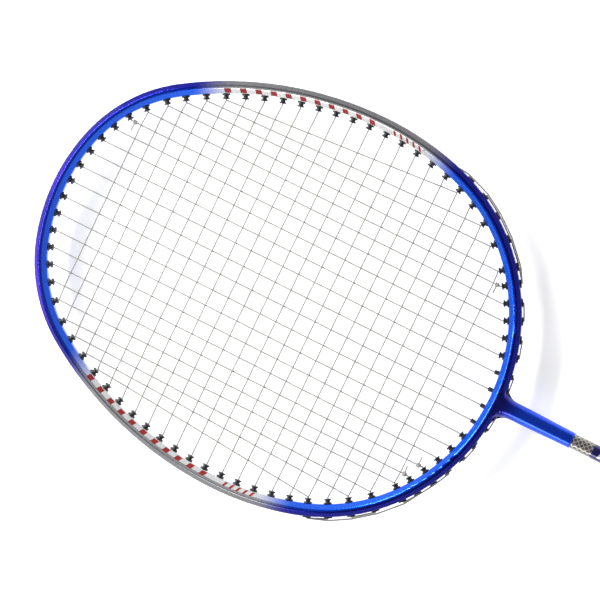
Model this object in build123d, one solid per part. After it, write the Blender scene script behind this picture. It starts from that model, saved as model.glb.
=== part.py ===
"""Badminton racket: a strung oval head, a T-joint cone, a slim shaft and a wrapped handle.

Millimetres. The racket lies along +Y with its butt end at the origin and the head's tip at
the far end. The string bed lies in the XY plane and +Z is the face that is looked at.
Around the head, a heading is the direction of the rim's outward normal, in degrees from +Y
towards the side: 0 at the tip, 90 at the widest line and 180 at the throat. A depth is
measured inwards from the rim's outermost wall, so what stands outside has a negative depth.
"""
import os
from collections import namedtuple
from math import acos, asin, cos, degrees, radians, sin, sqrt, tan

from build123d import *

# ---------------------------------------------------------------- overall sizes
overall_length = 670.0
head_length = 250.0
head_width = 203.2
widest_below_middle = 12.5      # the widest line, from the middle of the head towards the throat
handle_length = 205.0           # butt end to the top of the cone cap

# ---------------------------------------------------------------- head outline
# Turn of each arc in degrees, and each blend arc's radius against the mean half size there.
tip_turn, shoulder_turn = 17.0, 40.0
throat_turn, corner_turn = 38.0, 34.0
shoulder_fullness, corner_fullness = 0.652, 0.878

# ---------------------------------------------------------------- head frame section
rim_width = 6.4
rim_height = 10.0
rim_wall = 0.95
lip_height = 4.6                # height of the flat outer wall
inner_wall_height = 3.6         # height of the flat inner wall
crest_depth = 3.1               # where the ridge on each face stands
groove_width = 3.4
groove_depth = 1.6
groove_end = 108.0              # heading where the groove stops; towards the throat there is none
crest_round, lip_round, inner_round = 1.6, 0.8, 1.0

# ---------------------------------------------------------------- strings and their holes
string_diameter = 0.7
string_gap = 0.1                # between a string and the flange it lies on
stacking_step = 0.8             # how much further out a string lies that crosses others
transition_turn = 1.1           # degrees each side of the groove's end for a string to climb out
main_count = 22
cross_count = 23
main_gap_taper = 0.036          # each gap between mains is this share of the middle gap narrower
throat_cross_margin = 23.2      # inner rim at the throat to the first cross
tip_cross_margin = 21.3         # inner rim at the tip to the last cross
tip_gap_share = 0.88            # the last two gaps against the others
tip_sharing_main = 7            # from this main outwards, tip holes are shared with crosses
throat_sharing_main = 8         # the same at the throat
throat_shared_crosses = (0, 1, 2, 4)
weave_clearance = 0.03
lane_height = 0.42              # the mains' height in a hole; the crosses run as far below
weave_bend, hole_bend, rim_bend = 2.0, 0.6, 0.55
knot_start, knot_diameter, knot_length = 0.9, 2.3, 2.2
tail_length = 4.2
end_clearance = 1.5             # a main and a cross that meet nearer than this to a hole don't weave
lead_height = -1.3              # the crosses' first run outside the rim, below the mains' holes

# ---------------------------------------------------------------- grommets
grommet_bore = 1.7
barrel_diameter = 2.5
throat_barrel_diameter = 2.2
collar_diameter, collar_thickness = 4.1, 0.7
mouth_diameter, mouth_thickness = 3.6, 0.75
waist_length = 1.1
lip_chamfer = 0.2
flange_length, flange_width, flange_thickness = 4.2, 2.6, 0.65
seat_gap = 0.04                 # between a grommet and the rim
throat_flange_diameter = 2.7
throat_barrel_mains = 2         # mains each side of the axis whose throat grommets are plain
hole_clearance = 0.05

# ---------------------------------------------------------------- throat and shaft
shaft_diameter = 7.5
shaft_bore = 5.5
shaft_insertion = 80.0          # length of shaft inside the wooden handle
shaft_rim_gap = 6.0             # top end of the shaft to the rim's outer wall
joint_fit = 0.05
crossbar_reach = 20.0           # half length of the T-joint's bar inside the rim
stem_top_diameter = 5.4
stem_insertion = 34.0
cone_length = 39.0
cone_rim_diameter, cone_end_diameter = 9.6, 8.1
flare_radius = 5.0
flare_step = 10                 # degrees of the flare's curve between its sections
flare_height = 8.4              # the flare's thickness where it meets the rim
passage_height = 3.4            # slot for the strings between the flare's two cheeks
passage_outset = 1.9
passage_inner = 3.2             # where the slot starts, each side of the axis

# ---------------------------------------------------------------- handle
core_width, core_thickness, core_chamfer = 24.0, 21.5, 6.2
core_end_gap = 0.1
grip_thickness = 1.8
grip_gap = 0.1
cap_top_length = 45.0           # whole cone cap
cap_collar_length = 18.0
cap_shoulder_diameter, cap_neck_diameter, cap_neck_length = 25.4, 12.6, 6.0
cap_end_diameter = 10.8
cap_spigot_length = 12.0
cap_spigot_diameter = 15.0
tape_width, tape_thickness = 12.0, 0.35
tape_overlap = 7.0              # how far the tape laps onto the grip
butt_width, butt_thickness, butt_chamfer = 30.5, 28.0, 8.0
butt_flare_length, butt_plate = 8.0, 3.0
butt_skirt_length, butt_skirt_wall = 14.0, 1.1
butt_waist_width, butt_waist_thickness = 28.0, 25.5
butt_round = 1.0
emblem_diameter, emblem_thickness = 16.0, 0.8
staple_wire, staple_span, staple_leg = 0.9, 8.0, 7.0

# ---------------------------------------------------------------- worked out from the above
head_middle = overall_length - head_length / 2
widest_line = head_middle - widest_below_middle
throat_end = overall_length - head_length
shaft_top = throat_end - shaft_rim_gap
core_top = handle_length - cap_top_length
shaft_bottom = core_top - shaft_insertion
mouth_reach = collar_thickness + waist_length + mouth_thickness
mouth_depth = rim_width + mouth_reach
turn_depth = mouth_depth + 0.6                  # where a string turns, clear of the mouth
string_radius = string_diameter / 2
weave_height = string_radius + weave_clearance
grip_start = butt_flare_length + 0.2
grip_end = core_top + cap_collar_length - 6.0

RimArc = namedtuple("RimArc", "x y radius start end")


# ================================================================ head outline
def quarter_arcs(half_width, half_length, end_turn, blend_turn, fullness):
    """End, blend and side radius of a quarter that runs from an end of the head to its side.

    The blend radius follows the quarter's size. The other two are what close the quarter.
    """
    blend_radius = fullness * (half_width + half_length) / 2
    first, second = radians(end_turn), radians(end_turn + blend_turn)
    across = half_width - blend_radius * (sin(second) - sin(first))
    along = half_length - blend_radius * (cos(first) - cos(second))
    scale = sin(first) * cos(second) - (1 - sin(second)) * (1 - cos(first))
    end_radius = (across * cos(second) - along * (1 - sin(second))) / scale
    side_radius = (along * sin(first) - across * (1 - cos(first))) / scale
    return end_radius, blend_radius, side_radius


def rim_arcs():
    """The six arcs of the +X half, in order of heading from the tip to the throat."""
    half_width = head_width / 2
    arcs = []
    for sign, end_turn, blend_turn, fullness in (
            (1, tip_turn, shoulder_turn, shoulder_fullness),
            (-1, throat_turn, corner_turn, corner_fullness)):
        half_length = head_length / 2 + sign * widest_below_middle
        end, blend, side = quarter_arcs(half_width, half_length, end_turn, blend_turn, fullness)
        centre = half_length - end
        middle_x = (end - blend) * sin(radians(end_turn))
        middle_y = centre + (end - blend) * cos(radians(end_turn))
        bounds = (0, end_turn, end_turn + blend_turn, 90)
        shapes = ((0, centre, end), (middle_x, middle_y, blend), (half_width - side, 0, side))
        for (x, y, radius), low, high in zip(shapes, bounds, bounds[1:]):
            if sign < 0:
                low, high = 180 - high, 180 - low
            arcs.append(RimArc(x, widest_line + sign * y, radius, low, high))
    return sorted(arcs, key=lambda arc: arc.start)


arcs = rim_arcs()


def rim_point(side, heading, depth, height=0.0):
    """The point at a heading on the +X (side 1) or -X (side -1) half of the rim."""
    arc = next(arc for arc in arcs if heading <= arc.end + 1e-9)
    reach = arc.radius - depth
    angle = radians(heading)
    return Vector(side * (arc.x + reach * sin(angle)), arc.y + reach * cos(angle), height)


def rim_normal(side, heading):
    """Outward direction at a heading."""
    return Vector(side * sin(radians(heading)), cos(radians(heading)), 0)


def heading_at_y(y, depth):
    """Heading where the rim's outline at a depth crosses a line of constant y."""
    for arc in arcs:
        share = (y - arc.y) / (arc.radius - depth)
        if abs(share) <= 1 and arc.start - 1e-6 <= degrees(acos(share)) <= arc.end + 1e-6:
            return degrees(acos(share))
    raise ValueError("no rim at that y")


def heading_at_x(x, depth, at_tip):
    """Heading where the rim's outline at a depth crosses a line of constant x."""
    for arc in arcs:
        share = (x - arc.x) / (arc.radius - depth)
        if abs(share) <= 1 and (arc.end <= 90) == at_tip:
            heading = degrees(asin(share)) if at_tip else 180 - degrees(asin(share))
            if arc.start - 1e-6 <= heading <= arc.end + 1e-6:
                return heading
    raise ValueError("no rim at that x")


# ================================================================ string layout
def cross_lines():
    """The y of each cross, from the throat to the tip."""
    low = throat_end + rim_width + throat_cross_margin
    high = overall_length - rim_width - tip_cross_margin
    shares = [1.0] * (cross_count - 3) + [tip_gap_share] * 2
    gap = (high - low) / sum(shares)
    lines = [low]
    for share in shares:
        lines.append(lines[-1] + gap * share)
    return lines


def main_lines(outer_x):
    """The x of each main that has its own tip hole, the next one outwards being at outer_x."""
    gaps = [1 - main_gap_taper * i for i in range(tip_sharing_main)]
    scale = outer_x / (gaps[0] / 2 + sum(gaps))
    lines = [scale * gaps[0] / 2]
    for gap in gaps[:-1]:
        lines.append(lines[-1] + scale * gap)
    return lines


crosses = cross_lines()
cross_headings = [heading_at_y(y, mouth_depth) for y in crosses]
half_mains = main_count // 2


def shared_tip_cross(main):
    """The cross that shares a main's tip hole; main counts from 1 at the axis outwards."""
    return cross_count - 1 - (main - tip_sharing_main)


def main_headings():
    """Tip and throat heading of each main's holes, from the axis outwards."""
    first_shared = (rim_point(1, cross_headings[shared_tip_cross(throat_sharing_main)], mouth_depth)
                    + rim_point(1, cross_headings[0], mouth_depth)) / 2
    own = main_lines(first_shared.X)
    tips, throats = [], []
    for main in range(1, half_mains + 1):
        if main < tip_sharing_main:
            tips.append(heading_at_x(own[main - 1], mouth_depth, True))
        else:
            tips.append(cross_headings[shared_tip_cross(main)])
        if main < throat_sharing_main:
            throats.append(heading_at_x(own[main - 1], mouth_depth, False))
        else:
            cross = throat_shared_crosses[main - throat_sharing_main]
            throats.append(cross_headings[cross])
    return tips, throats


main_tips, main_throats = main_headings()


def hole_headings():
    """Every hole of one side, in order from the tip to the throat."""
    return sorted(set(main_tips + main_throats + cross_headings))


# ================================================================ head frame
def section_points():
    """Corners of the rim's section as (depth, height) pairs, with the groove left out."""
    lip, inner, crest = lip_height / 2, inner_wall_height / 2, rim_height / 2
    upper = [(0, lip), (crest_depth, crest), (rim_width, inner)]
    return upper + [(depth, -height) for depth, height in reversed(upper)]


def section_face(radius, points):
    """A section drawn with the rim's centre of curvature at the origin."""
    return make_face(Polyline(*[(radius - depth, height) for depth, height in points], close=True))


def rounded_section(arc):
    """The rim's outer section: rounded crests, lips and inner corners, and the groove."""
    radius = arc.radius
    face = section_face(radius, section_points())
    for depth, size in ((crest_depth, crest_round), (0, lip_round), (rim_width, inner_round)):
        corners = [v for v in face.vertices() if abs(radius - v.X - depth) < 1e-6]
        face = fillet(corners, size)
    if is_grooved(arc.start):
        face -= Pos(radius, 0) * Rectangle(2 * groove_depth, groove_width)
    return face


def cavity_section(arc):
    """The hollow inside the rim, a wall's thickness in from the groove as well."""
    face = offset(section_face(arc.radius, section_points()), -rim_wall, kind=Kind.INTERSECTION)
    if is_grooved(arc.start):
        face -= Pos(arc.radius, 0) * Rectangle(2 * (groove_depth + rim_wall), rim_height)
    return face


def is_grooved(heading):
    return heading < groove_end


def flange_top(heading):
    """Depth of a flange's outer face: down in the groove, or proud of the plain wall."""
    return (groove_depth if is_grooved(heading) else 0) - flange_thickness


def seat_depth(heading):
    """Depth of a string that lies on the flanges."""
    return flange_top(heading) - string_radius - string_gap


def swept_around(arc, side, section):
    """A section turned through one arc of the rim."""
    low, high = sorted((90 - arc.start, 90 - arc.end))
    if side < 0:
        low, high = 180 - high, 180 - low
    axis = Axis((side * arc.x, arc.y, 0), (0, 0, 1))
    start = radians(low)
    plane = Plane(origin=(side * arc.x, arc.y, 0), x_dir=(cos(start), sin(start), 0),
                  z_dir=(sin(start), -cos(start), 0))
    return revolve(plane * section, axis, high - low)


def hoop(section_of):
    """The whole rim from a function that draws the section for an arc."""
    pieces = [swept_around(arc, side, section_of(arc)) for arc in arcs for side in (1, -1)]
    return pieces[0].fuse(*pieces[1:])


def hole_plane(side, heading, depth):
    """A plane across a hole at a depth, looking inwards, with x along the rim."""
    along = Vector(0, 0, 1).cross(rim_normal(side, heading))
    return Plane(origin=rim_point(side, heading, depth), x_dir=along,
                 z_dir=-rim_normal(side, heading))


def barrel_size(is_throat):
    return throat_barrel_diameter if is_throat else barrel_diameter


def hole_cutter(side, heading, is_throat):
    """A drill through both walls for one grommet."""
    radius = barrel_size(is_throat) / 2 + hole_clearance
    return extrude(hole_plane(side, heading, -1) * Circle(radius), rim_width + 2)


def is_throat_hole(heading):
    return heading > main_throats[throat_barrel_mains] + 1e-6


def head_frame():
    """Hollow rim, drilled for the grommets and for the T-joint's stem."""
    body = hoop(rounded_section) - hoop(cavity_section)
    drills = [hole_cutter(side, heading, is_throat_hole(heading))
              for side in (1, -1) for heading in hole_headings()]
    stem = Pos(0, throat_end, 0) * Rot(-90, 0, 0) * Cylinder(stem_top_diameter / 2 + joint_fit,
                                                             2 * crest_depth)
    return body.cut(*drills, stem)


# ================================================================ grommets
def turned(side, heading, outline):
    """A body turned about a hole's axis from (radius, depth) points, closed along the axis."""
    plane = hole_plane(side, heading, 0)
    upright = Plane(origin=plane.origin, x_dir=plane.x_dir, z_dir=-plane.y_dir)
    closed = [(0, outline[0][1])] + outline + [(0, outline[-1][1])]
    return revolve(make_face(upright * Polyline(*closed, close=True)),
                   Axis(plane.origin, plane.z_dir), 360)


def lipped(radius, start, end):
    """Outline of a disc with chamfered edges, in order of depth."""
    return [(radius - lip_chamfer, start), (radius, start + lip_chamfer),
            (radius, end - lip_chamfer), (radius - lip_chamfer, end)]


def grommet_bore_cut(side, heading):
    """A grommet's bore, opened out a little at the mouth."""
    bore = grommet_bore / 2
    return turned(side, heading, [
        (bore, flange_top(heading) - 1), (bore, mouth_depth - lip_chamfer),
        (bore + lip_chamfer, mouth_depth), (bore + lip_chamfer, mouth_depth + 1)])


def grommet(side, heading):
    """One moulded eyelet: flange outside, barrel through the rim, collar, waist and mouth."""
    top = flange_top(heading)
    flange_height = flange_thickness - seat_gap
    if is_throat_hole(heading):
        barrel = throat_barrel_diameter / 2
        outline = [(throat_flange_diameter / 2, top), (throat_flange_diameter / 2,
                                                       top + flange_height),
                   (barrel, top + flange_height)] + lipped(barrel, mouth_depth - 1, mouth_depth)[2:]
        return turned(side, heading, outline) - grommet_bore_cut(side, heading)
    barrel, waist = barrel_diameter / 2, barrel_diameter / 2 - lip_chamfer / 4
    seat = rim_width + seat_gap
    outline = [(barrel, top + lip_chamfer), (barrel, seat)]
    outline += lipped(collar_diameter / 2, seat, seat + collar_thickness)
    outline += [(waist, seat + collar_thickness), (waist, mouth_depth - mouth_thickness)]
    outline += lipped(mouth_diameter / 2, mouth_depth - mouth_thickness, mouth_depth)
    flange = extrude(hole_plane(side, heading, top) * SlotOverall(flange_length, flange_width),
                     flange_height)
    return flange + turned(side, heading, outline) - grommet_bore_cut(side, heading)


def grommet_group(sides, low, high):
    """All grommets of the given sides whose heading is between two limits."""
    return [grommet(side, heading) for side in sides for heading in hole_headings()
            if low <= heading < high]


# ================================================================ strings
def rounded_path(points, bends):
    """Straight runs joined by tangent arcs, one bend radius for each inner point."""
    edges, last = [], points[0]
    for before, corner, after, bend in zip(points, points[1:], points[2:], bends):
        inward = (corner - before).normalized()
        outward = (after - corner).normalized()
        turn = radians(inward.get_angle(outward))
        if turn < 1e-3:
            continue
        setback = bend * tan(turn / 2)
        first, second = corner - inward * setback, corner + outward * setback
        bisector = (outward - inward).normalized()
        middle = corner + bisector * (bend / cos(turn / 2) - bend)
        edges += [Edge.make_line(last, first), Edge.make_three_point_arc(first, middle, second)]
        last = second
    return Wire(edges + [Edge.make_line(last, points[-1])])


def tube(points, bends):
    """A round string along a path."""
    path = rounded_path(points, bends)
    start = Plane(origin=points[0], z_dir=points[1] - points[0])
    return Solid.sweep((start * Circle(string_radius)).face(), path)


def crossing_sign(main, side, cross):
    """Which way a main passes a cross: 1 over it, -1 under it. Mains alternate across the bed."""
    column = main if side > 0 else 1 - main
    return 1 if (column + cross) % 2 else -1


def main_ends(main, side):
    """Where a main turns into its two holes: tip, then throat."""
    return (rim_point(side, main_tips[main - 1], turn_depth, lane_height),
            rim_point(side, main_throats[main - 1], turn_depth, lane_height))


def cross_ends(cross):
    """Where a cross turns into its holes: +X side, then -X side."""
    return [rim_point(side, cross_headings[cross], turn_depth, -lane_height) for side in (1, -1)]


def main_x_at(main, side, y):
    """The x of a main where it passes a cross."""
    tip, throat = main_ends(main, side)
    return tip.X + (throat.X - tip.X) * (y - tip.Y) / (throat.Y - tip.Y)


def meets(main, side, cross):
    """Whether a main and a cross really pass each other inside the head."""
    tip, throat = main_ends(main, side)
    y = crosses[cross]
    reach = cross_ends(cross)[0].X
    return (throat.Y + end_clearance < y < tip.Y - end_clearance
            and abs(main_x_at(main, side, y)) < reach - end_clearance)


def main_run(main, side, towards_throat):
    """The points of one main, hole to hole, with its bends."""
    tip, throat = main_ends(main, side)
    woven = [Vector(main_x_at(main, side, crosses[cross]), crosses[cross],
                    crossing_sign(main, side, cross) * weave_height)
             for cross in range(cross_count) if meets(main, side, cross)]
    points = [throat] + woven + [tip]
    bends = [hole_bend] + [weave_bend] * len(woven) + [hole_bend]
    return (points[::-1], bends) if towards_throat else (points, bends)


def cross_run(cross, towards_left):
    """The points of one cross, hole to hole, with its bends."""
    right, left = cross_ends(cross)
    passed = [(main, side) for side in (-1, 1) for main in range(1, half_mains + 1)
              if meets(main, side, cross)]
    woven = sorted((Vector(main_x_at(main, side, crosses[cross]), crosses[cross],
                           -crossing_sign(main, side, cross) * weave_height)
                    for main, side in passed), key=lambda point: point.X)
    points = [left] + woven + [right]
    bends = [hole_bend] + [weave_bend] * len(woven) + [hole_bend]
    return (points[::-1], bends) if towards_left else (points, bends)


def seat_point(side, heading, lane):
    """Where a string lies on the flange of a hole."""
    return rim_point(side, heading, seat_depth(heading), lane)


def hop(side, start, end, lane):
    """The points outside the rim between neighbouring holes.

    A string that passes the groove's end climbs out of it there.
    """
    points = [seat_point(side, start, lane), seat_point(side, end, lane)]
    if is_grooved(start) == is_grooved(end):
        return points, [rim_bend, rim_bend]
    outer, inner = seat_depth(groove_end), string_radius + 2.5 * string_gap
    climb = [rim_point(side, groove_end + transition_turn * 1.8, outer, lane),
             rim_point(side, groove_end + transition_turn * 0.3, -inner, lane)]
    if is_grooved(start):
        climb.reverse()
    return ([points[0]] + climb + [points[1]],
            [rim_bend, weave_bend, weave_bend, rim_bend])


def long_hop(side, start, end, lane, pass_depth, pass_height):
    """A run outside the rim that passes other holes on its way to a further one."""
    between = [h for h in hole_headings() if min(start, end) + 1e-6 < h < max(start, end) - 1e-6]
    if start > end:
        between.reverse()
    points = [seat_point(side, start, lane)]
    points += [rim_point(side, heading, pass_depth, pass_height) for heading in between]
    points += [seat_point(side, end, lane)]
    return points, [rim_bend] + [weave_bend] * len(between) + [rim_bend]


def join_runs(runs):
    """One list of points and of inner bends from runs laid end to end."""
    points = [point for run_points, _ in runs for point in run_points]
    bends = [bend for _, run_bends in runs for bend in run_bends]
    return points, bends[1:-1]


def knot(at, direction):
    """A wrapped knot around a string, a clear string's width inside."""
    plane = Plane(origin=at, z_dir=direction)
    body = extrude(plane * Circle(knot_diameter / 2), knot_length)
    body = fillet(body.edges().filter_by(GeomType.CIRCLE), knot_length / 4)
    return body - extrude(plane * Circle(string_radius + 0.04), knot_length)


def tied_end(side, heading, lane, around, tail_direction):
    """A string's end: in through a hole, a knot on another string, and a short tail.

    around is the next point of the string that holds the knot, and the end runs beside it.
    """
    outside = seat_point(side, heading, lane)
    turn = rim_point(side, heading, turn_depth, lane)
    held = rim_point(side, heading, turn_depth, -lane)
    direction = (around - held).normalized()
    start = held + direction * knot_start
    middle = start + direction * knot_length / 2
    off = (tail_direction - direction * tail_direction.dot(direction)).normalized()
    tail = [middle + off * (knot_diameter / 4), middle + off * (knot_diameter / 4 + tail_length)]
    end = [outside, turn, turn + direction * (knot_start + knot_length / 4)]
    return end, [rim_bend, hole_bend], knot(start, direction), tube(tail, [])


def main_half(side):
    """One half of the main string, from the tip's middle outwards to its tied end."""
    runs = []
    for main in range(1, half_mains + 1):
        towards_throat = main % 2 == 1
        runs.append(main_run(main, side, towards_throat))
        if main < half_mains:
            ends = main_throats if towards_throat else main_tips
            runs.append(hop(side, ends[main - 1], ends[main], lane_height))
    return runs


def main_string():
    """The mains: from one tie-off, down and up across the head, to the other."""
    knots = []
    halves = []
    for side in (-1, 1):
        last, tie = main_throats[half_mains - 1], main_throats[tip_sharing_main - 1]
        points, bends = long_hop(side, last, tie, lane_height,
                                 seat_depth(last) - stacking_step, 0)
        around = main_run(tip_sharing_main, side, False)[0][1]
        end, end_bends, wrap, tail = tied_end(side, tie, -lane_height, around,
                                              Vector(-side, 0.2, 0.3))
        points[-1] = end[0]
        halves.append(main_half(side) + [(points + end[1:], bends + end_bends[1:] + [0])])
        knots += [wrap, tail]
    left = [(points[::-1], bends[::-1]) for points, bends in reversed(halves[0])]
    middle = ([seat_point(side, main_tips[0], lane_height) for side in (-1, 1)],
              [rim_bend, rim_bend])
    points, bends = join_runs(left + [middle] + halves[1])
    return tube(points, bends).fuse(*knots)


def cross_string():
    """The crosses: tied near the throat on the left, tied near the tip on the right."""
    lane = -lane_height
    start_tie, end_tie = main_throats[tip_sharing_main - 2], main_tips[tip_sharing_main - 2]
    around = [main_run(tip_sharing_main - 1, side, from_tip)[0][1]
              for side, from_tip in ((-1, False), (1, True))]
    first, first_bends, first_knot, first_tail = tied_end(
        -1, start_tie, lane, around[0], Vector(1, 0.2, 0.3))
    last, last_bends, last_knot, last_tail = tied_end(
        1, end_tie, lane, around[1], Vector(-0.9, -0.4, 0.2))
    lead_in, lead_bends = long_hop(-1, start_tie, cross_headings[0], lane,
                                   seat_depth(start_tie), lead_height)
    runs = [(first[::-1] + lead_in[1:], [0] + first_bends[::-1] + lead_bends[1:])]
    for cross in range(cross_count):
        towards_left = cross % 2 == 1
        runs.append(cross_run(cross, towards_left))
        if cross < cross_count - 1:
            side = -1 if towards_left else 1
            runs.append(hop(side, cross_headings[cross], cross_headings[cross + 1], lane))
    runs.append(([seat_point(1, cross_headings[-1], lane)] + last,
                 [rim_bend] + last_bends + [0]))
    points, bends = join_runs(runs)
    return tube(points, bends).fuse(first_knot, first_tail, last_knot, last_tail)


# ================================================================ throat and shaft
def throat_piece(section_of, reach):
    """A section carried along the rim at the throat, to a length each side of the axis."""
    throat = arcs[-1]
    turn = degrees(reach / (throat.radius - rim_width / 2))
    short = RimArc(throat.x, throat.y, throat.radius, 180 - turn, 180)
    section = section_of(throat)
    return swept_around(short, 1, section) + swept_around(short, -1, section)


def bar_section(arc):
    """The T-joint's bar, a fit smaller than the rim's hollow."""
    return offset(cavity_section(arc), -joint_fit, kind=Kind.INTERSECTION)


def t_joint():
    """A bar inside the rim at the throat, and a stem down into the shaft."""
    bar = throat_piece(bar_section, crossbar_reach)
    stem_end = shaft_top - stem_insertion
    stem_start = throat_end + crest_depth
    stem = Pos(0, (stem_start + stem_end) / 2, 0) * Rot(90, 0, 0) * Cylinder(
        stem_top_diameter / 2, stem_start - stem_end)
    drills = [hole_cutter(side, heading, is_throat_hole(heading))
              for side in (1, -1) for heading in hole_headings() if heading > arcs[-1].start]
    return (bar + stem).cut(*drills)


def along_shaft(y, length, radius):
    """A round bar on the racket's axis that starts at y."""
    return Pos(0, y + length / 2, 0) * Rot(90, 0, 0) * Cylinder(radius, length)


def shaft():
    """The tube from inside the handle to the T-joint."""
    length = shaft_top - shaft_bottom
    return (along_shaft(shaft_bottom, length, shaft_diameter / 2)
            - along_shaft(shaft_bottom - 1, length + 2, shaft_bore / 2))


def flare_section(drop):
    """The cone's section at a distance below the rim: wide near the rim, then nearly round."""
    share = drop / cone_length
    radius = (cone_rim_diameter + (cone_end_diameter - cone_rim_diameter) * share) / 2
    flare = 0.0
    if drop < flare_radius:
        flare = flare_radius - sqrt(flare_radius ** 2 - (flare_radius - drop) ** 2)
    blend = max(0.0, 1 - drop / (2 * flare_radius))
    height = radius + (flare_height / 2 - radius) * blend
    plane = Plane(origin=(0, throat_end - drop, 0), x_dir=(1, 0, 0), z_dir=(0, 1, 0))
    return plane * Ellipse(radius + flare, height)


def throat_cone():
    """The painted cone over the joint: flared against the rim, tapered down the shaft."""
    steps = [flare_radius * (1 - cos(radians(a))) for a in range(0, 91, flare_step)]
    flare = loft([flare_section(drop) for drop in steps], ruled=True)
    taper = loft([flare_section(flare_radius), flare_section(2 * flare_radius),
                  flare_section(cone_length)], ruled=True)
    root = extrude(flare_section(0), crest_depth)
    bore = shaft_diameter / 2 + joint_fit
    body = flare.fuse(taper, root)
    return body.cut(
        throat_piece(solid_section, 3 * flare_radius),
        string_passage(1), string_passage(-1),
        along_shaft(shaft_top - cone_length, cone_length, bore),
        along_shaft(shaft_top - 1, shaft_rim_gap + crest_depth + 1,
                    stem_top_diameter / 2 + joint_fit))


def solid_section(arc):
    """The rim's outer section without its groove, a hair larger than the rim."""
    face = section_face(arc.radius, section_points())
    return offset(face, joint_fit, kind=Kind.INTERSECTION)


def string_passage(side):
    """The strings' slot on one side of the stem: a block outside the rim's wall."""
    wide = cone_rim_diameter / 2 + 2 * flare_radius
    low, high = throat_end - passage_outset, throat_end + crest_depth
    return Pos(side * (passage_inner + wide) / 2, (low + high) / 2, 0) * Box(
        wide - passage_inner, high - low, passage_height)


# ================================================================ handle
def octagon(width, thickness, corner):
    """The handle's eight-sided section, with its wide faces parallel to the strings."""
    sketch = Rectangle(width, thickness)
    return chamfer(sketch.vertices(), corner)


def handle_section(growth):
    """The wooden core's section, grown outwards on every face."""
    corner = core_chamfer + growth * (2 - sqrt(2))
    return octagon(core_width + 2 * growth, core_thickness + 2 * growth, corner)


def across_handle(y):
    """A plane across the racket at y, facing the head."""
    return Plane(origin=(0, y, 0), x_dir=(1, 0, 0), z_dir=(0, 1, 0))


def prism(sketch, y, length):
    """A section carried towards the head from y."""
    return extrude(across_handle(y) * sketch, length)


def staple(side, extra):
    """A wire staple through the butt cap's skirt, grown by extra for the hole that it makes."""
    wire = staple_wire + 2 * extra
    outer = core_width / 2 + extra
    y = butt_flare_length + butt_skirt_length / 2
    crown = Pos(side * (outer - wire / 2), y, 0) * Box(wire, staple_span + 2 * extra, wire)
    leg_length = staple_leg + extra
    legs = [Pos(side * (outer - leg_length / 2), y + end * (staple_span - staple_wire) / 2, 0)
            * Box(leg_length, wire, wire) for end in (1, -1)]
    return crown + legs[0] + legs[1]


def handle_core():
    """Wooden core: a reduced end in the butt cap, a bore for the shaft, a socket for the cap."""
    start = butt_plate + core_end_gap
    skirt_end = butt_flare_length + butt_skirt_length + core_end_gap
    body = prism(handle_section(0), skirt_end, core_top - skirt_end)
    body += prism(handle_section(-butt_skirt_wall - joint_fit), start, skirt_end - start)
    body -= along_shaft(core_top - cap_spigot_length - core_end_gap, cap_spigot_length + 1,
                        cap_spigot_diameter / 2 + joint_fit)
    body -= along_shaft(shaft_bottom - core_end_gap, shaft_insertion + 1,
                        shaft_diameter / 2 + joint_fit)
    return body.cut(staple(1, joint_fit), staple(-1, joint_fit))


def cone_cap():
    """Plastic cap from the handle to the shaft: eight-sided collar, round taper, hidden spigot."""
    collar_top = core_top + cap_collar_length
    shoulder, neck, end = (d / 2 for d in (cap_shoulder_diameter, cap_neck_diameter,
                                           cap_end_diameter))
    reach = core_width
    profile = Polyline((0, core_top), (reach, core_top), (reach, collar_top),
                       (shoulder, collar_top), (neck, handle_length - cap_neck_length),
                       (end, handle_length), (0, handle_length), close=True)
    body = revolve(make_face(profile), Axis.Y, 360)
    body = body & prism(handle_section(0), core_top, cap_top_length)
    body += along_shaft(core_top - cap_spigot_length, cap_spigot_length, cap_spigot_diameter / 2)
    return body - along_shaft(core_top - cap_spigot_length - 1, cap_top_length
                              + cap_spigot_length + 2, shaft_diameter / 2 + joint_fit)


def butt_cap():
    """Moulded cup on the handle's end: a flared foot, a thin skirt and a recess for the emblem."""
    foot = loft([across_handle(0) * octagon(butt_width, butt_thickness, butt_chamfer),
                 across_handle(butt_flare_length)
                 * octagon(butt_waist_width, butt_waist_thickness, butt_chamfer)])
    foot = fillet(foot.faces().sort_by(Axis.Y)[0].edges(), butt_round)
    skirt_end = butt_flare_length + butt_skirt_length
    body = foot + prism(handle_section(0), butt_flare_length, butt_skirt_length)
    body -= prism(handle_section(-butt_skirt_wall), butt_plate, skirt_end)
    body -= along_shaft(-1, 1 + emblem_thickness + joint_fit, emblem_diameter / 2 + joint_fit)
    return body.cut(staple(1, joint_fit), staple(-1, joint_fit))


def grip_wrap():
    """The wound grip, as one plain sleeve over the core and the cap's collar."""
    length = grip_end - grip_start
    return (prism(handle_section(grip_gap + grip_thickness), grip_start, length)
            - prism(handle_section(grip_gap), grip_start - 1, length + 2))


def finishing_tape():
    """A thin band over the grip's last turn and the bare collar beyond it."""
    inner = grip_gap + grip_thickness + joint_fit
    outer = inner + tape_thickness
    start = grip_end - tape_overlap
    over_grip = tape_overlap + joint_fit
    body = prism(handle_section(outer), start, over_grip + tape_thickness)
    body -= prism(handle_section(inner), start - 1, over_grip + 1)
    beyond = start + over_grip
    body += prism(handle_section(grip_gap + tape_thickness), beyond, tape_width - over_grip)
    return body - prism(handle_section(grip_gap), start - 1, tape_width + 2)


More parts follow.
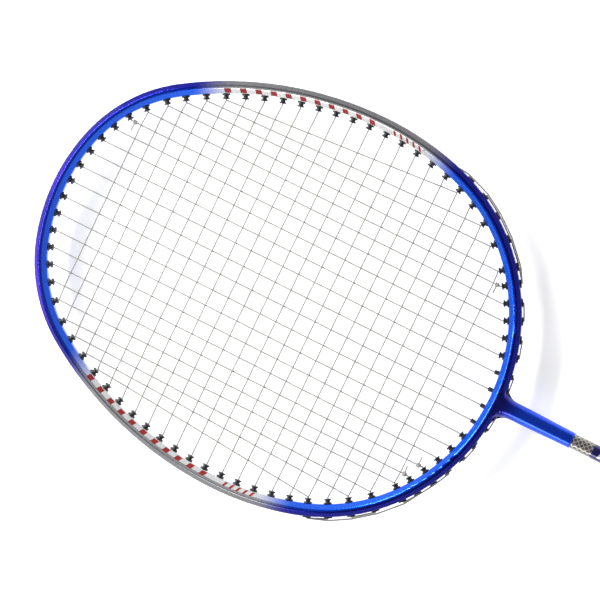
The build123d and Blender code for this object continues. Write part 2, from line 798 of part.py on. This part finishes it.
# ================================================================ the nodes
def grommet_nodes():
    """Grommets in the runs that a stringer names them by."""
    shoulder, corner = main_tips[throat_sharing_main - 1], main_throats[half_mains - 1]
    throat = main_throats[throat_barrel_mains]
    both = (1, -1)
    return {
        "grommets_tip": grommet_group(both, 0, shoulder + 1e-6),
        "grommets_right": grommet_group((1,), shoulder + 1e-6, corner - 1e-6),
        "grommets_left": grommet_group((-1,), shoulder + 1e-6, corner - 1e-6),
        "grommets_lower_right": grommet_group((1,), corner - 1e-6, throat + 1e-6),
        "grommets_lower_left": grommet_group((-1,), corner - 1e-6, throat + 1e-6),
        "grommets_throat": grommet_group(both, throat + 1e-6, 180),
    }


def nodes():
    """Every node's solids by name."""
    emblem = along_shaft(0, emblem_thickness, emblem_diameter / 2)
    pieces = {
        "head_frame": [head_frame()],
        "t_joint": [t_joint()],
        "throat_cone": [throat_cone()],
        "shaft": [shaft()],
        "cone_cap": [cone_cap()],
        "handle_core": [handle_core()],
        "grip_wrap": [grip_wrap()],
        "finishing_tape": [finishing_tape()],
        "butt_cap": [butt_cap()],
        "butt_emblem": [emblem],
        "butt_staples": [staple(1, 0), staple(-1, 0)],
        "main_string": [main_string()],
        "cross_string": [cross_string()],
    }
    pieces.update(grommet_nodes())
    return pieces


os.makedirs("parts", exist_ok=True)
for name, shapes in nodes().items():
    solids = [solid for shape in shapes for solid in shape.solids()]
    shape = solids[0] if len(solids) == 1 else Compound(children=solids)
    export_step(shape, f"parts/{name}.step")
    print(name, len(solids), round(sum(solid.volume for solid in solids), 1))
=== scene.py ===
"""Looks for the badminton racket: paint, strings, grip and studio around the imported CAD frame.

Metres. The racket lies along +Y with its butt at the origin, and +Z faces the camera.
"""

from math import cos, pi, radians, sin, sqrt

import bmesh
import bpy
from mathutils import Matrix, Vector


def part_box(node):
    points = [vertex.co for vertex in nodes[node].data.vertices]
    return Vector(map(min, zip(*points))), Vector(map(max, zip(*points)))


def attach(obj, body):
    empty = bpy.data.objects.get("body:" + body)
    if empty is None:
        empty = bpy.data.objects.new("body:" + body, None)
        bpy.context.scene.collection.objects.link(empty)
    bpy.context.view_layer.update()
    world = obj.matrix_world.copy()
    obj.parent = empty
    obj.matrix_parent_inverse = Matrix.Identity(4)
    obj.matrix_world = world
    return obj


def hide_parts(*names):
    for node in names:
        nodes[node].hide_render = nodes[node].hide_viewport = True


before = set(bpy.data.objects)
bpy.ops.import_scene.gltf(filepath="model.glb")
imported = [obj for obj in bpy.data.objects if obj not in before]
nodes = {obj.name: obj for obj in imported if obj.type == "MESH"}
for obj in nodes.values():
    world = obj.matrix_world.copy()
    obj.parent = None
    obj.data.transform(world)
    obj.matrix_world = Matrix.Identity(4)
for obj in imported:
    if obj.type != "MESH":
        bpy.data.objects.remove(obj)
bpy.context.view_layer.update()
MM = 0.001

# ---------------------------------------------------------------- places on the racket
HEAD_MIDDLE = 545 * MM          # halfway along the head
WIDEST_LINE = 532.5 * MM        # where the head is widest
HALF_WIDTH = 101.6 * MM
HALF_LENGTH = 125 * MM
THROAT = 420 * MM               # the rim's outermost line at the shaft
SHAFT_RADIUS = 3.75 * MM
CONE_END = 381 * MM             # where the painted cone stops on the shaft
BAND_END = 370 * MM             # where the woven band stops
BAND_CELLS = 9                  # diamonds round the shaft in the woven band
SILVER_ZONE = (0.503, 0.618)    # the silver part of the rim's sides
VIOLET_FADE = (0.610, 0.668)    # where blue turns violet towards the tip
BAR_FACET = (0.00225, 0.00425)  # heights on the inner facet between which the red bars lie
LARGE_BARS = (0.0072, 0.42, 0.5350, 0.6130)     # pitch, painted share, first and last place
SMALL_BARS = (0.0036, 0.36, 0.5080, 0.5270)
SHAFT_BARS = (0.3330, 0.3670)   # the white bars on the shaft
SHAFT_RINGS = ((0.2160, 0.2172), (0.2190, 0.2194))
EDGE = 0.0001                   # softness of a painted edge
TAPE_PITCH = 21 * MM            # how far the grip's tape climbs in one turn

# ---------------------------------------------------------------- studio
FLOOR = -14.4 * MM              # just under the handle, the racket's thickest part
FLOOR_SIZE = 3.0                # half the side of the white sweep
HORIZON, CEILING = 1.05, 0.20   # brightness of the surroundings, low down and overhead
SKY_FADE = (0.12, 0.50)         # height of the sky's direction where the ceiling takes over
CAMERA_PLACE = (0.130, HEAD_MIDDLE - 0.205, 1.400)
CAMERA_AIM = (0.0020, 0.5319, 0.0)
CAMERA_ROLL = 26.1              # degrees from +X to the picture's upright
LENS, SENSOR = 172.0, 36.0

# ---------------------------------------------------------------- colours, linear
BLUE = (0.000, 0.060, 0.760, 1)
# the blue lightened: painted light on the rim's inner wall
LIT_BLUE = (0.004, 0.115, 0.880, 1)
# the blue darkened: painted shade on the rim's outer facet and on the cone next to it
SHADED_BLUE = (0.000, 0.002, 0.215, 1)
VIOLET = (0.050, 0.014, 0.480, 1)
SILVER = (0.800, 0.805, 0.815, 1)
# the silver darkened: painted shade on the outer facet of the rim's silver zones
SHADED_SILVER = (0.200, 0.200, 0.212, 1)
RED = (0.300, 0.000, 0.002, 1)
STRING = (0.400, 0.390, 0.360, 1)
NYLON = (0.012, 0.012, 0.015, 1)


# ================================================================ node materials
class Shade:
    """Short calls for building one node material."""

    def __init__(self, name):
        self.material = bpy.data.materials.new(name)
        self.material.use_nodes = True
        self.tree = self.material.node_tree
        self.tree.nodes.clear()
        coordinates = self.add("ShaderNodeTexCoord")
        self.place = coordinates.outputs["Object"]
        self.normal = coordinates.outputs["Normal"]
        self.x, self.y, self.z = self.split(self.place)

    def add(self, kind, **settings):
        node = self.tree.nodes.new(kind)
        for key, value in settings.items():
            setattr(node, key, value)
        return node

    def feed(self, socket, value):
        if isinstance(value, bpy.types.NodeSocket):
            self.tree.links.new(value, socket)
        else:
            socket.default_value = value

    def split(self, vector):
        node = self.add("ShaderNodeSeparateXYZ")
        self.feed(node.inputs[0], vector)
        return node.outputs[0], node.outputs[1], node.outputs[2]

    def join(self, x, y, z):
        node = self.add("ShaderNodeCombineXYZ")
        for socket, value in zip(node.inputs, (x, y, z)):
            self.feed(socket, value)
        return node.outputs[0]

    def math(self, operation, *values):
        node = self.add("ShaderNodeMath", operation=operation)
        for socket, value in zip(node.inputs, values):
            self.feed(socket, value)
        return node.outputs[0]

    def dot(self, first, second):
        node = self.add("ShaderNodeVectorMath", operation="DOT_PRODUCT")
        self.feed(node.inputs[0], first)
        self.feed(node.inputs[1], second)
        return node.outputs["Value"]

    def unit(self, vector):
        node = self.add("ShaderNodeVectorMath", operation="NORMALIZE")
        self.feed(node.inputs[0], vector)
        return node.outputs[0]

    def scaled(self, vector, factors):
        node = self.add("ShaderNodeVectorMath", operation="MULTIPLY")
        self.feed(node.inputs[0], vector)
        self.feed(node.inputs[1], factors)
        return node.outputs[0]

    def step(self, value, low, high):
        """0 below low, 1 above high, smooth between. low may be the larger, which falls."""
        node = self.add("ShaderNodeMapRange", interpolation_type="SMOOTHSTEP")
        for socket, item in zip(node.inputs, (value, low, high, 0.0, 1.0)):
            self.feed(socket, item)
        return node.outputs[0]

    def between(self, value, low, high, soft):
        """1 from low to high and 0 outside, over a change twice as wide as soft."""
        rise = self.step(value, low - soft, low + soft)
        return self.math("MULTIPLY", rise, self.step(value, high + soft, high - soft))

    def mix(self, factor, first, second):
        node = self.add("ShaderNodeMix", data_type="RGBA")
        for name, value in (("Factor_Float", factor), ("A_Color", first), ("B_Color", second)):
            socket = next(s for s in node.inputs if s.identifier == name)
            self.feed(socket, value)
        return next(s for s in node.outputs if s.identifier == "Result_Color")

    def noise(self, vector, scale, detail=2.0, roughness=0.5):
        node = self.add("ShaderNodeTexNoise")
        self.feed(node.inputs["Vector"], vector)
        node.inputs["Scale"].default_value = scale
        node.inputs["Detail"].default_value = detail
        node.inputs["Roughness"].default_value = roughness
        return node.outputs[0]

    def cells(self, vector, scale, output="Distance"):
        node = self.add("ShaderNodeTexVoronoi", feature="F1")
        self.feed(node.inputs["Vector"], vector)
        node.inputs["Scale"].default_value = scale
        return node.outputs[output]

    def ranged(self, value, low, high):
        """A 0 to 1 value carried to another range."""
        return self.math("MULTIPLY_ADD", value, high - low, low)

    def bump(self, height, distance, strength):
        node = self.add("ShaderNodeBump")
        self.feed(node.inputs["Height"], height)
        node.inputs["Distance"].default_value = distance
        node.inputs["Strength"].default_value = strength
        return node.outputs[0]

    def surface(self, **sockets):
        """The Principled shader, from socket names with _ for a space."""
        shader = self.add("ShaderNodeBsdfPrincipled")
        for name, value in sockets.items():
            self.feed(shader.inputs[name.replace("_", " ")], value)
        out = self.add("ShaderNodeOutputMaterial")
        self.tree.links.new(shader.outputs[0], out.inputs[0])
        return self.material


def outwards(shade):
    """How far a point's surface faces away from the head's middle, -1 to 1."""
    along = shade.math("SUBTRACT", shade.y, WIDEST_LINE)
    radial = shade.unit(shade.join(
        shade.math("DIVIDE", shade.x, HALF_WIDTH ** 2),
        shade.math("DIVIDE", along, HALF_LENGTH ** 2), 0.0))
    return shade.dot(radial, shade.normal)


def sparkling(shade, colour):
    """A colour with the fine sparkle of metallic paint."""
    grain = shade.cells(shade.place, 5200.0, output="Color")
    value = shade.ranged(shade.split(grain)[0], 0.84, 1.12)
    return shade.scaled(colour, shade.join(value, value, value))


def frame_paint():
    """Blue metallic paint, silver with red bars on the sides and streaked violet at the tip; the
    outer facet darker as painted shade, the inner wall lighter as painted light.
    """
    s = Shade("frame_paint")
    facing = outwards(s)
    # outer facet, painted darker as painted shade, and inner wall, painted lighter as painted
    # light
    outer = s.step(facing, -0.05, 0.20)
    inner = s.step(facing, -0.35, -0.62)
    cloud = s.noise(s.place, 35.0)
    wander = s.math("MULTIPLY_ADD", cloud, 0.006, s.y)
    silver = s.between(wander, *SILVER_ZONE, 0.011)
    towards_tip = s.step(s.y, *VIOLET_FADE)
    left = s.step(s.x, 0.060, -0.060)
    violet = s.math("MULTIPLY", towards_tip, left)
    violet = s.math("MULTIPLY", violet, s.step(streaks(s, facing), 0.30, 0.62))
    # lighter blue on the inner wall is painted light; navy on the outer facet is painted shade
    inner_blue = s.mix(inner, BLUE, LIT_BLUE)
    inner_blue = s.mix(s.math("MULTIPLY", violet, 0.25), inner_blue, VIOLET)
    outer_blue = s.mix(violet, SHADED_BLUE, VIOLET)
    blue = s.mix(outer, inner_blue, outer_blue)
    # on the silver zones, the darker grey of the outer facet is painted shade
    paint = s.mix(silver, blue, s.mix(outer, SILVER, SHADED_SILVER))
    bars = red_bars(s, facing)
    colour = sparkling(s, s.mix(bars, paint, RED))
    wear = s.noise(s.place, 900.0, 3.0)
    peel = s.noise(s.place, 420.0, 2.0)
    grain = s.cells(s.place, 2300.0)
    rough = s.ranged(wear, 0.20, 0.32)
    height = s.math("MULTIPLY_ADD", grain, s.math("MULTIPLY", silver, 0.6), peel)
    return s.surface(
        Base_Color=colour, Metallic=s.math("MULTIPLY_ADD", bars, -0.8, 0.90),
        Roughness=rough, Coat_Weight=s.ranged(s.math("MAXIMUM", outer, bars), 0.5, 0.2),
        Coat_Roughness=0.03, Coat_IOR=1.5, Normal=s.bump(height, 0.00002, 0.5))


def streaks(s, facing):
    """Long streaks of brushed colour that run round the rim, 0 to 1."""
    heading = s.math("ARCTAN2", s.x, s.math("SUBTRACT", s.y, WIDEST_LINE))
    place = s.join(s.math("MULTIPLY", heading, 2.5), s.math("MULTIPLY", facing, 3.0), 0.0)
    return s.noise(place, 1.6, 3.0)


def red_bars(s, facing):
    """Slanted bars on the inner facet of the silver zones, in two sizes."""
    slanted = s.math("MULTIPLY_ADD", s.z, -0.55, s.y)
    on_facet = s.math("MULTIPLY", s.step(facing, -0.30, -0.50),
                      s.between(s.z, *BAR_FACET, 0.00008))
    masks = []
    for pitch, share, low, high in (LARGE_BARS, SMALL_BARS):
        phase = s.math("FRACT", s.math("DIVIDE", slanted, pitch))
        bar = s.between(phase, 0.2, 0.2 + share, 0.02)
        masks.append(s.math("MULTIPLY", bar, s.between(s.y, low, high, EDGE)))
    return s.math("MULTIPLY", s.math("MAXIMUM", *masks), on_facet)


def cone_paint():
    """The cone's blue metallic paint, darkened to navy where it meets the rim as painted shade
    that carries on the rim's outer facet.
    """
    s = Shade("cone_paint")
    # painted shade: darker navy towards the rim, matching the rim's shaded outer facet
    rim_shade = s.step(s.y, THROAT - 0.014, THROAT)
    colour = sparkling(s, s.mix(rim_shade, BLUE, SHADED_BLUE))
    wear = s.noise(s.place, 900.0, 3.0)
    peel = s.noise(s.place, 420.0, 2.0)
    return s.surface(
        Base_Color=colour, Metallic=0.82, Roughness=s.ranged(wear, 0.2, 0.3), Coat_Weight=0.5,
        Coat_Roughness=0.03, Normal=s.bump(peel, 0.00002, 0.4))


def shaft_paint():
    """Navy shaft with a woven band under the cone and plain white marks beyond it."""
    s = Shade("shaft_paint")
    turn = s.math("ARCTAN2", s.x, s.z)
    weave, strands = woven_band(s, turn)
    band = s.between(s.y, BAND_END, CONE_END, 2 * EDGE)
    navy = s.mix(s.noise(s.place, 60.0), (0.008, 0.004, 0.090, 1), (0.004, 0.004, 0.150, 1))
    colour = s.mix(shaft_marks(s, turn), navy, (0.80, 0.80, 0.82, 1))
    colour = s.mix(band, colour, weave)
    peel = s.noise(s.place, 500.0, 2.0)
    height = s.math("MULTIPLY_ADD", s.math("MULTIPLY", band, strands), 2.0, peel)
    return s.surface(
        Base_Color=colour, Metallic=s.math("MULTIPLY_ADD", band, -0.1, 0.55),
        Roughness=s.ranged(s.noise(s.place, 700.0, 3.0), 0.20, 0.32),
        Coat_Weight=1.0, Coat_Roughness=0.03, Normal=s.bump(height, 0.00002, 0.4))


def woven_band(s, turn):
    """Colour and relief of silver strands that cross on the slant over brown diamonds."""
    around = s.math("MULTIPLY", turn, SHAFT_RADIUS)
    cell = 2 * pi * SHAFT_RADIUS / BAND_CELLS
    first = s.math("DIVIDE", s.math("ADD", around, s.y), cell)
    second = s.math("DIVIDE", s.math("SUBTRACT", around, s.y), cell)
    seam = s.math("MINIMUM", s.math("PINGPONG", first, 0.5), s.math("PINGPONG", second, 0.5))
    tow = s.noise(s.scaled(s.place, (900.0, 900.0, 900.0)), 1.0, 3.0)
    silver = s.mix(tow, (0.26, 0.25, 0.24, 1), (0.60, 0.58, 0.56, 1))
    brown = s.mix(tow, (0.035, 0.027, 0.024, 1), (0.16, 0.125, 0.11, 1))
    return s.mix(s.step(seam, 0.09, 0.15), silver, brown), s.step(seam, 0.16, 0.08)


def shaft_marks(s, turn):
    """A row of plain short white bars on the face of the shaft, and two rings near the cap."""
    slanted = s.math("MULTIPLY_ADD", turn, 0.0012, s.y)
    phase = s.math("FRACT", s.math("DIVIDE", slanted, 0.0046))
    bars = s.math("MULTIPLY", s.between(phase, 0.25, 0.60, 0.02),
                  s.between(turn, -0.55, 0.55, 0.02))
    bars = s.math("MULTIPLY", bars, s.between(s.y, *SHAFT_BARS, EDGE))
    rings = s.math("MAXIMUM", *(s.between(s.y, low, high, EDGE) for low, high in SHAFT_RINGS))
    return s.math("MAXIMUM", bars, rings)


def braided(name, along, across, colour):
    """A braided string: fine strands that spiral round it, along one axis."""
    s = Shade(name)
    parts = s.split(s.normal)
    axes = {"x": 0, "y": 1, "z": 2}
    place = (s.x, s.y, s.z)[axes[along]]
    turn = s.math("DIVIDE", s.math("ARCTAN2", parts[2], parts[axes[across]]), 2 * pi)
    travel = s.math("DIVIDE", place, 0.0011)
    strands = []
    for operation in ("ADD", "SUBTRACT"):
        lay = s.math(operation, travel, s.math("MULTIPLY", turn, 5.0))
        strands.append(s.math("PINGPONG", lay, 0.5))
    braid = s.math("MAXIMUM", *strands)
    dirt = s.noise(s.place, 160.0, 3.0)
    tint = s.mix(dirt, colour, tuple(c * 0.80 for c in colour[:3]) + (1,))
    tint = s.mix(s.step(braid, 0.34, 0.10), tint, tuple(c * 0.78 for c in colour[:3]) + (1,))
    return s.surface(
        Base_Color=tint, Roughness=s.ranged(dirt, 0.30, 0.48), Coat_Weight=0.25,
        Coat_Roughness=0.2, Normal=s.bump(braid, 0.00004, 0.7))


def moulded(name, colour, low, high, grain=1400.0, depth=0.00002, coat=0.0):
    """Moulded plastic: a fine skin over slight flow lines, with roughness from low to high."""
    s = Shade(name)
    skin = s.cells(s.place, grain)
    flow = s.noise(s.scaled(s.place, (40.0, 220.0, 40.0)), 1.0, 3.0)
    tint = s.mix(flow, colour, tuple(min(1.0, c * 1.7 + 0.004) for c in colour[:3]) + (1,))
    return s.surface(
        Base_Color=tint, Roughness=s.ranged(flow, low, high), Coat_Weight=coat,
        Coat_Roughness=0.1, Normal=s.bump(skin, depth, 0.5))


def wood():
    """Pale handle wood with its grain along the handle."""
    s = Shade("core_wood")
    stretched = s.scaled(s.place, (260.0, 9.0, 260.0))
    grain = s.noise(stretched, 1.0, 5.0, 0.6)
    rings = s.math("FRACT", s.math("MULTIPLY", s.noise(stretched, 0.35, 2.0), 9.0))
    tint = s.mix(grain, (0.52, 0.33, 0.17, 1), (0.70, 0.50, 0.30, 1))
    tint = s.mix(s.math("MULTIPLY", rings, 0.35), tint, (0.36, 0.20, 0.09, 1))
    return s.surface(Base_Color=tint, Roughness=s.ranged(grain, 0.5, 0.75),
                     Normal=s.bump(grain, 0.0001, 0.4))


def metal(name, colour, roughness):
    """Bare or brushed metal."""
    s = Shade(name)
    brush = s.noise(s.scaled(s.place, (3000.0, 300.0, 3000.0)), 1.0, 2.0)
    return s.surface(Base_Color=colour, Metallic=1.0,
                     Roughness=s.ranged(brush, roughness * 0.8, roughness * 1.3),
                     Normal=s.bump(brush, 0.00001, 0.4))


def paint_node(name, material):
    """Gives a CAD node a material in every slot."""
    slots = nodes[name].data.materials
    for i in range(len(slots)):
        slots[i] = material


nylon = moulded("grommet_nylon", NYLON, 0.28, 0.45, grain=2600.0, depth=0.00001)
finishes = {
    "head_frame": frame_paint(),
    "t_joint": metal("joint_alloy", (0.72, 0.72, 0.74, 1), 0.35),
    "throat_cone": cone_paint(),
    "shaft": shaft_paint(),
    "cone_cap": moulded("cap_plastic", (0.003, 0.010, 0.120, 1), 0.22, 0.34, coat=0.5),
    "handle_core": wood(),
    "finishing_tape": moulded("vinyl_tape", (0.012, 0.012, 0.014, 1), 0.25, 0.40, grain=900.0),
    "butt_cap": moulded("butt_plastic", (0.012, 0.012, 0.013, 1), 0.35, 0.55,
                        grain=1100.0, depth=0.00004),
    "butt_emblem": metal("emblem_metal", (0.62, 0.63, 0.66, 1), 0.25),
    "butt_staples": metal("staple_steel", (0.60, 0.60, 0.62, 1), 0.30),
    "main_string": braided("main_strands", "y", "x", STRING),
    "cross_string": braided("cross_strands", "x", "y", STRING),
    "grip_wrap": moulded("grip_skin", (0.012, 0.012, 0.013, 1), 0.5, 0.7,
                         grain=1500.0, depth=0.00006),
}
for node_name in nodes:
    if node_name.startswith("grommets"):
        finishes[node_name] = nylon
for node_name, finish in finishes.items():
    paint_node(node_name, finish)


# ================================================================ modelled pieces
def mesh_piece(name, points, faces, material, slot, *replaced):
    """A smooth closed mesh that rides on the racket and stands for CAD nodes."""
    mesh = bpy.data.meshes.new(name)
    mesh.from_pydata(points, [], faces)
    build = bmesh.new()
    build.from_mesh(mesh)
    bmesh.ops.recalc_face_normals(build, faces=build.faces)
    build.to_mesh(mesh)
    build.free()
    mesh.materials.append(material)
    mesh.shade_smooth()
    piece = bpy.data.objects.new(name, mesh)
    bpy.context.scene.collection.objects.link(piece)
    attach(piece, "root")
    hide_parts(*replaced)
    return piece


def ring_mesh(rings):
    """Points and faces of a tube through rings of equal size, closed into a loop of rings."""
    count = len(rings[0])
    points = [point for ring in rings for point in ring]
    faces = []
    for i in range(len(rings)):
        here, there = i * count, (i + 1) % len(rings) * count
        for j in range(count):
            k = (j + 1) % count
            faces.append((here + j, here + k, there + k, there + j))
    return points, faces


def octagon_reach(turn, half_width, half_height, chamfer, soften):
    """Distance from the handle's axis to its eight-sided surface, with softened corners."""
    c, s = abs(cos(turn)), abs(sin(turn))
    diagonal = (half_width + half_height - chamfer) / sqrt(2)
    sides = (c / half_width, s / half_height, (c + s) / sqrt(2) / diagonal)
    return sum(side ** soften for side in sides) ** (-1 / soften)


def wound_grip():
    """The grip: one cushioned tape wound up the handle, each turn lapping the last."""
    low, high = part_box("grip_wrap")
    start, end = low.y, high.y
    half_width, half_height = high.x, high.z
    sides, step = 128, 0.7 * MM
    lap, near_edge, far_edge = 0.20, 0.05, 0.035        # shares of the tape's pitch
    dip, crown, end_drop, end_run = 0.55 * MM, 0.12 * MM, 0.6 * MM, 1.5 * MM
    chamfer, inner_chamfer, soften = 7.1 * MM, 6.3 * MM, 22
    wall = 1.9 * MM
    rows = int((end - start) / step)
    rings = []
    for i in range(rows + 1):
        y = start + (end - start) * i / rows
        ring = []
        for j in range(sides):
            turn = 2 * pi * j / sides
            phase = ((y - start) / TAPE_PITCH - turn / (2 * pi)) % 1.0
            ridge = min(phase / near_edge, 1.0)
            ridge *= (1 - max(0.0, phase - lap) / (1 - lap)) ** 0.6
            seam = dip * (1 - min(1.0, phase / near_edge, (1 - phase) / far_edge)) ** 2
            drop = dip * (1 - ridge) + seam - crown * sin(pi * phase)
            ends = min(1.0, (y - start) / end_run + 0.3, (end - y) / end_run + 0.3)
            reach = octagon_reach(turn, half_width, half_height, chamfer, soften)
            reach -= drop + end_drop * (1 - ends) ** 2
            ring.append((reach * cos(turn), y, reach * sin(turn)))
        rings.append(ring)
    for ring in (rings[-1], rings[0]):
        inner = []
        for j in range(sides):
            turn = 2 * pi * j / sides
            reach = octagon_reach(turn, half_width - wall, half_height - wall,
                                  inner_chamfer, soften)
            inner.append((reach * cos(turn), ring[0][1], reach * sin(turn)))
        rings.append(inner)
    points, faces = ring_mesh(rings)
    piece = mesh_piece("wound_grip", points, faces, grip_skin(), "grip", "grip_wrap")


def grip_skin():
    """Satin black synthetic leather with a fine grain and rows of pin holes along the tape."""
    s = Shade("grip_leather")
    turn = s.math("DIVIDE", s.math("ARCTAN2", s.z, s.x), 2 * pi)
    across = s.math("FRACT", s.math("SUBTRACT", s.math("DIVIDE", s.y, TAPE_PITCH), turn))
    holes_round, hole_rows = 60.0, 9.0
    around = s.math("MULTIPLY", turn, holes_round)
    rows = s.math("MULTIPLY", across, hole_rows)
    stagger = s.math("MULTIPLY", s.math("MODULO", s.math("FLOOR", rows), 2.0), 0.5)
    u = s.math("SUBTRACT", s.math("FRACT", s.math("ADD", around, stagger)), 0.5)
    v = s.math("SUBTRACT", s.math("FRACT", rows), 0.5)
    off = s.math("SQRT", s.math("ADD", s.math("MULTIPLY", u, u), s.math("MULTIPLY", v, v)))
    hole = s.step(off, 0.20, 0.13)
    leather = s.cells(s.place, 1700.0)
    crease = s.noise(s.place, 240.0, 4.0)
    tint = s.mix(crease, (0.008, 0.008, 0.009, 1), (0.024, 0.024, 0.026, 1))
    tint = s.mix(hole, tint, (0.001, 0.001, 0.001, 1))
    height = s.math("MULTIPLY_ADD", leather, 0.5, s.math("MULTIPLY", crease, 0.5))
    height = s.math("MULTIPLY_ADD", hole, -2.0, height)
    return s.surface(Base_Color=tint, Roughness=s.ranged(crease, 0.42, 0.62),
                     Sheen_Weight=0.15, Sheen_Roughness=0.4, Normal=s.bump(height, 0.00012, 0.7))


def smooth_maximum(first, second, blend):
    """The larger of two heights, with the change between them rounded."""
    share = max(0.0, blend - abs(first - second)) / blend
    return max(first, second) + share * share * blend / 4


def cone_half(sign, rows, columns, y_of, half_of, height_of):
    """One face of the cone as a grid of points, from its -X edge to its +X edge."""
    grid = []
    for i in range(rows + 1):
        drop = y_of(i)
        line = []
        for j in range(columns + 1):
            across = -cos(pi * j / columns)
            x = across * half_of(drop)
            height = height_of(drop, x, sqrt(max(0.0, 1 - across * across)))
            line.append((x, drop, sign * height))
        grid.append(line)
    return grid


def flared_cone():
    """The cone over the T-joint: blended over the rim's outer facet, tapered down the shaft.

    A drop is a distance from the throat towards the handle, so it is negative on the rim.
    """
    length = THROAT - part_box("throat_cone")[0].y
    flare, inside = 6.5 * MM, 2.9 * MM
    end_radius, root_radius = 4.05 * MM, 4.8 * MM
    rim_radius, lip = 102 * MM, 2.3 * MM
    crest = min(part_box("head_frame")[1].z, 4.7 * MM)
    bore_share, bore_depth = 0.93, 4 * MM
    rows, columns = 90, 72
    slope = (crest - lip) / inside

    def drop_at(i):
        share = i / rows
        return -inside + (length + inside) * share ** 1.6

    def radius_at(drop):
        return root_radius + (end_radius - root_radius) * min(1.0, max(0.0, drop / length))

    def half_at(drop):
        if drop >= flare:
            return radius_at(drop)
        share = min(1.0, (flare - drop) / flare)
        wide = flare * (1 - sqrt(max(0.0, 1 - share ** 2)))
        beyond = max(0.0, -drop) / inside * 3.0 * MM
        return radius_at(drop) + wide + beyond

    def height_at(drop, x, edge):
        radius = radius_at(drop)
        if drop >= flare:
            return radius * edge
        shoulder = radius + (half_at(drop) - radius) * 0.45
        body = radius * (max(0.0, 1 - (x / shoulder) ** 2)) ** 0.5
        skirt = edge * radius * max(0.0, min(1.0, drop / (1.5 * MM)))
        facet = (lip - slope * drop) if drop <= 0 else 0.0
        lift = facet * min(1.0, max(0.0, (0.4 * MM - drop) / (0.8 * MM)))
        return smooth_maximum(max(body, skirt * 0.2 + body * 0.8), lift, 1.6 * MM)

    def placed(grid):
        """The grid at the throat, its flare bent to the rim's curve."""
        lines = []
        for line in grid:
            moved = []
            for x, drop, z in line:
                near = min(1.0, max(0.0, 1 - drop / flare))
                moved.append((x, THROAT - drop + x * x / (2 * rim_radius) * near, z))
            lines.append(moved)
        return lines

    top = placed(cone_half(1, rows, columns, drop_at, half_at, height_at))
    under = placed(cone_half(-1, rows, columns, drop_at, half_at, height_at))
    rings = [upper + lower[::-1] for upper, lower in zip(top, under)]
    bore = [(x * bore_share, y, z * bore_share) for x, y, z in rings[-1]]
    rings += [bore, [(x, y + bore_depth, z) for x, y, z in bore]]
    count = len(rings[0])
    points = [point for ring in rings for point in ring]
    faces = []
    for i in range(len(rings) - 1):
        here, there = i * count, (i + 1) * count
        for j in range(count):
            k = (j + 1) % count
            faces.append((here + j, here + k, there + k, there + j))
    faces.append(tuple(range(count)))
    faces.append(tuple(range(len(points) - count, len(points))))
    mesh_piece("flared_cone", points, faces, finishes["throat_cone"], "cone_paint", "throat_cone")


wound_grip()
flared_cone()


# ================================================================ studio
def look_along(obj, place, aim, up):
    """Puts an object at a place, with -Z at the aim and +Y as near as it can be to up."""
    back = (Vector(place) - Vector(aim)).normalized()
    right = Vector(up).cross(back).normalized()
    top = back.cross(right)
    matrix = Matrix((right, top, back)).transposed().to_4x4()
    matrix.translation = Vector(place)
    obj.matrix_world = matrix


def studio_camera():
    """The photograph's view: nearly along -Z, turned so that the shaft runs down to the right."""
    data = bpy.data.cameras.new("camera")
    data.lens, data.sensor_width = LENS, SENSOR
    data.clip_start, data.clip_end = 0.05, 20.0
    camera = bpy.data.objects.new("camera", data)
    bpy.context.scene.collection.objects.link(camera)
    roll = radians(CAMERA_ROLL)
    look_along(camera, CAMERA_PLACE, CAMERA_AIM, (cos(roll), sin(roll), 0.0))
    bpy.context.scene.camera = camera


def softbox(name, place, aim, width, depth, power):
    """A rectangular area light."""
    data = bpy.data.lights.new(name, "AREA")
    data.shape, data.size, data.size_y, data.energy = "RECTANGLE", width, depth, power
    light = bpy.data.objects.new(name, data)
    bpy.context.scene.collection.objects.link(light)
    look_along(light, place, aim, (0.0, 1.0, 0.1))


def floor():
    """A plain white sweep that the racket lies on."""
    mesh = bpy.data.meshes.new("floor")
    corners = [(x * FLOOR_SIZE, HEAD_MIDDLE + y * FLOOR_SIZE, FLOOR) for x, y in
               ((-1, -1), (1, -1), (1, 1), (-1, 1))]
    mesh.from_pydata(corners, [], [(0, 1, 2, 3)])
    obj = bpy.data.objects.new("floor", mesh)
    bpy.context.scene.collection.objects.link(obj)
    s = Shade("floor_paper")
    tint = s.mix(s.noise(s.place, 3.0), (0.93, 0.93, 0.93, 1), (0.95, 0.95, 0.95, 1))
    mesh.materials.append(s.surface(Base_Color=tint, Roughness=0.9, Specular_IOR_Level=0.1,
                                    Emission_Color=(1, 1, 1, 1), Emission_Strength=0.50))


def studio_light():
    """White surroundings under a darker ceiling, and three soft boxes."""
    world = bpy.data.worlds.new("studio")
    world.use_nodes = True
    tree = world.node_tree
    background = tree.nodes["Background"]
    background.inputs["Color"].default_value = (1.0, 1.0, 1.0, 1)
    place = tree.nodes.new("ShaderNodeTexCoord")
    parts = tree.nodes.new("ShaderNodeSeparateXYZ")
    tree.links.new(place.outputs["Generated"], parts.inputs[0])
    fade = tree.nodes.new("ShaderNodeMapRange")
    fade.interpolation_type = "SMOOTHSTEP"
    for socket, value in zip(list(fade.inputs)[1:5], (*SKY_FADE, HORIZON, CEILING)):
        socket.default_value = value
    tree.links.new(parts.outputs[2], fade.inputs[0])
    tree.links.new(fade.outputs[0], background.inputs["Strength"])
    bpy.context.scene.world = world
    middle = (0.0, HEAD_MIDDLE, 0.0)
    softbox("tip_side", (0.26, 1.75, 0.95), middle, 0.8, 0.8, 10.0)
    softbox("strip", (0.15, 1.65, 0.84), middle, 1.8, 0.14, 24.0)
    softbox("left_side", (-1.3, 0.55, 0.75), middle, 0.6, 0.6, 6.0)


studio_camera()
studio_light()
floor()
bpy.context.scene.view_settings.view_transform = "Standard"
